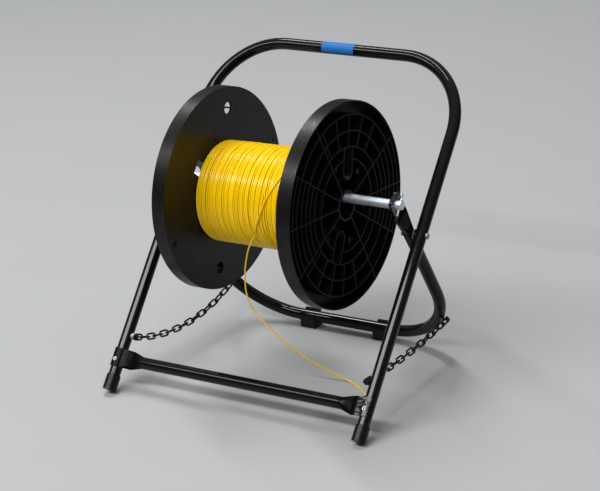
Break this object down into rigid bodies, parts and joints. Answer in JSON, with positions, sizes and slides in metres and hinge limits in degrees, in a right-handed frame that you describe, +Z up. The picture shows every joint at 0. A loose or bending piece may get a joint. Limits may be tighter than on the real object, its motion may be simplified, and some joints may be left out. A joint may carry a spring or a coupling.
{
  "type": "cable caddy",
  "caption": "Folding A-frame cable caddy of bent black tube, with a steel axle carrying a ribbed plastic reel of thin yellow cable and limit chains at both sides",
  "frame": {"origin": "centre of the overall box, on the floor", "axes": "+X to the caddy's right side along the axle, +Y to the rear, towards the handle bar, +Z up"},
  "size_m": [0.6478, 0.5724, 0.6325],
  "materials": {
    "frame_paint": "gloss black powder coat on steel tube",
    "crossbar_paint": "black powder coat, worn grey where the ends are pressed",
    "rivet_zinc": "bright plated rivet",
    "boot_rubber": "black rubber",
    "label_film": "plain blue film",
    "bolt_zinc": "zinc plated",
    "foot_plastic": "black moulded plastic",
    "chain_black": "black coated wire",
    "axle_zinc": "drawn steel rod, zinc plated",
    "pin_zinc": "zinc plated split pin",
    "flange_plastic": "black moulded plastic, slightly satin",
    "cable_jacket": "yellow cable jacket, satin"
  },
  "bodies": {
    "root": {"handle_frame": "frame_paint", "front_crossbar": "crossbar_paint", "crossbar_rivets": "rivet_zinc", "left_boot": "boot_rubber", "right_boot": "boot_rubber", "handle_label": "label_film", "pivot_bolts": "bolt_zinc", "pivot_washers": "bolt_zinc", "pivot_nuts": "bolt_zinc", "front_chain_bolts": "chain_black", "front_chain_nuts": "bolt_zinc"},
    "rear_frame": {"rear_frame_tube": "frame_paint", "left_foot": "foot_plastic", "right_foot": "foot_plastic", "rear_chain_bolts": "chain_black", "cable_tail": "cable_jacket"},
    "axle": {"axle_rod": "axle_zinc", "left_axle_pin": "pin_zinc", "right_axle_pin": "pin_zinc"},
    "reel": {"left_flange": "flange_plastic", "right_flange": "flange_plastic", "drum_barrel": "flange_plastic", "tie_bolts": "bolt_zinc", "tie_nuts": "bolt_zinc", "cable_winding": "cable_jacket"},
    "left_chain_front": {"left_chain_front": "chain_black"},
    "left_chain_rear": {"left_chain_rear": "chain_black"},
    "right_chain_front": {"right_chain_front": "chain_black"},
    "right_chain_rear": {"right_chain_rear": "chain_black"}
  },
  "joints": [
    {"name": "fold", "type": "hinge", "parent": "root", "child": "rear_frame", "pos_m": [0, 0.01725, 0.33472], "axis": [-1, 0, 0], "range_deg": [0, 58]},
    {"name": "axle_turn", "type": "hinge", "parent": "rear_frame", "child": "axle", "pos_m": [0, -0.02879, 0.41441], "axis": [1, 0, 0], "continuous": true},
    {"name": "reel_spin", "type": "hinge", "parent": "rear_frame", "child": "reel", "pos_m": [0, -0.02879, 0.39724], "axis": [1, 0, 0], "continuous": true},
    {"name": "left_chain_front_swing", "type": "hinge", "parent": "root", "child": "left_chain_front", "pos_m": [-0.285, -0.19352, 0.10063], "axis": [-1, 0, 0], "range_deg": [0, 72.2], "deforming": ["left_chain_front"]},
    {"name": "left_chain_rear_swing", "type": "hinge", "parent": "rear_frame", "child": "left_chain_rear", "pos_m": [-0.27527, 0.15041, 0.08846], "axis": [1, 0, 0], "range_deg": [0, 119.6], "deforming": ["left_chain_rear"]},
    {"name": "right_chain_front_swing", "type": "hinge", "parent": "root", "child": "right_chain_front", "pos_m": [0.285, -0.19352, 0.10063], "axis": [-1, 0, 0], "range_deg": [0, 80.2], "deforming": ["right_chain_front"]},
    {"name": "right_chain_rear_swing", "type": "hinge", "parent": "rear_frame", "child": "right_chain_rear", "pos_m": [0.27527, 0.15041, 0.08846], "axis": [1, 0, 0], "range_deg": [0, 127.5], "deforming": ["right_chain_rear"]}
  ],
  "couplings": [
    {"joint": "left_chain_front_swing", "follows": "fold", "ratio": 1.2432},
    {"joint": "left_chain_rear_swing", "follows": "fold", "ratio": 2.0601},
    {"joint": "right_chain_front_swing", "follows": "fold", "ratio": 1.3805},
    {"joint": "right_chain_rear_swing", "follows": "fold", "ratio": 2.1974}
  ]
}
